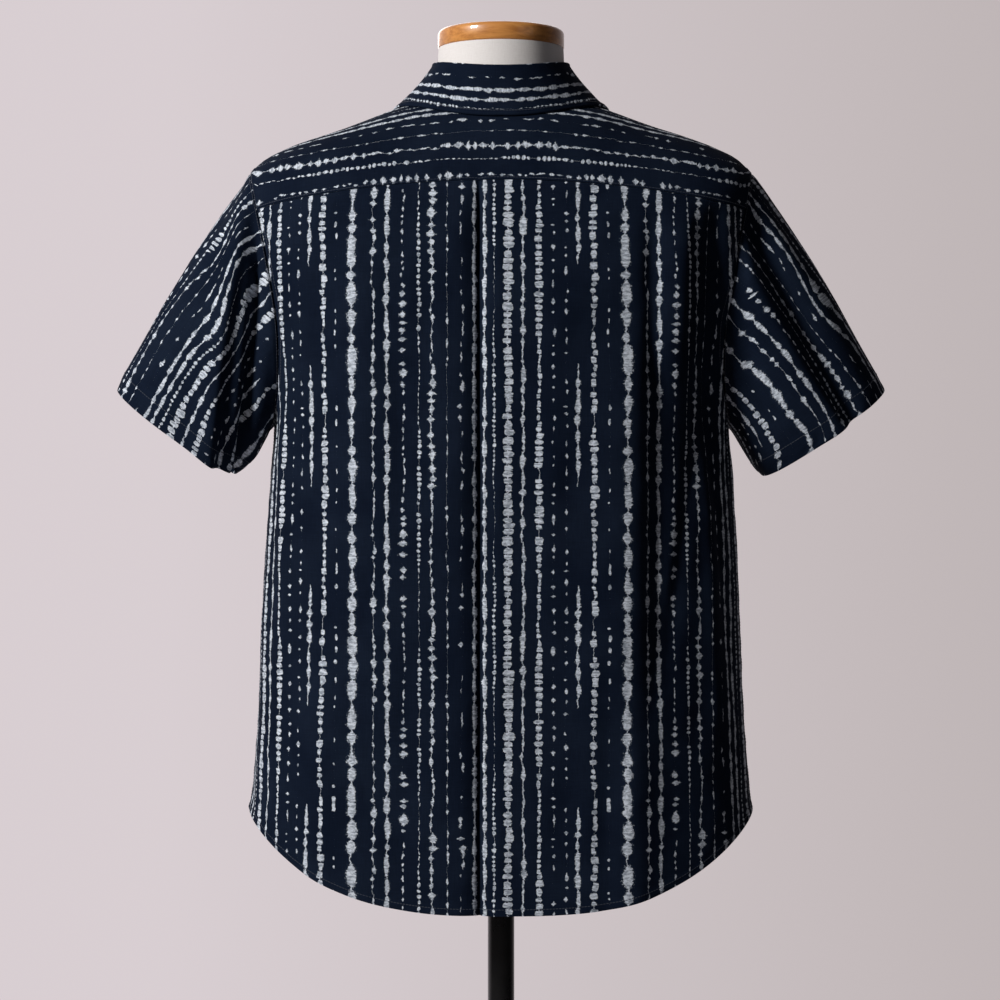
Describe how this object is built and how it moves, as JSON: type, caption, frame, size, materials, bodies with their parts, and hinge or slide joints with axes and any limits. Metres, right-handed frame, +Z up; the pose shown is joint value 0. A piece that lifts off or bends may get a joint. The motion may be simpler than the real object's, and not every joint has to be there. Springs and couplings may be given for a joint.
{
  "type": "button-up shirt on a dress form",
  "caption": "Short-sleeved button-up shirt with a turned-down collar, back yoke and curved shirt-tail hem, worn by a linen dress form with a wood cap on a black pole stand.",
  "frame": {"origin": "centre of the base plate's underside, on the floor", "axes": "+Z up along the pole; the shirt's buttoned front faces -Y and its back +Y; the wearer's left is +X"},
  "size_m": [0.7492, 0.34, 1.599],
  "materials": {
    "cloth": "matt woven cotton, navy ground with pale broken stripes",
    "button": "satin",
    "linen": "matt plain-weave linen",
    "wood": "glossy varnish",
    "black_metal": "satin black paint"
  },
  "bodies": {
    "root": {"yoke": "cloth", "back": "cloth", "front_left": "cloth", "front_right": "cloth", "front_band": "cloth", "collar_stand": "cloth", "collar": "cloth", "sleeve_left": "cloth", "sleeve_right": "cloth", "button_1": "button", "button_2": "button", "button_3": "button", "button_4": "button", "button_5": "button", "button_6": "button", "button_collar": "button", "form_body": "linen", "neck_cap": "wood", "form_socket": "black_metal", "pole": "black_metal", "base_hub": "black_metal", "base_plate": "black_metal"}
  },
  "joints": []
}
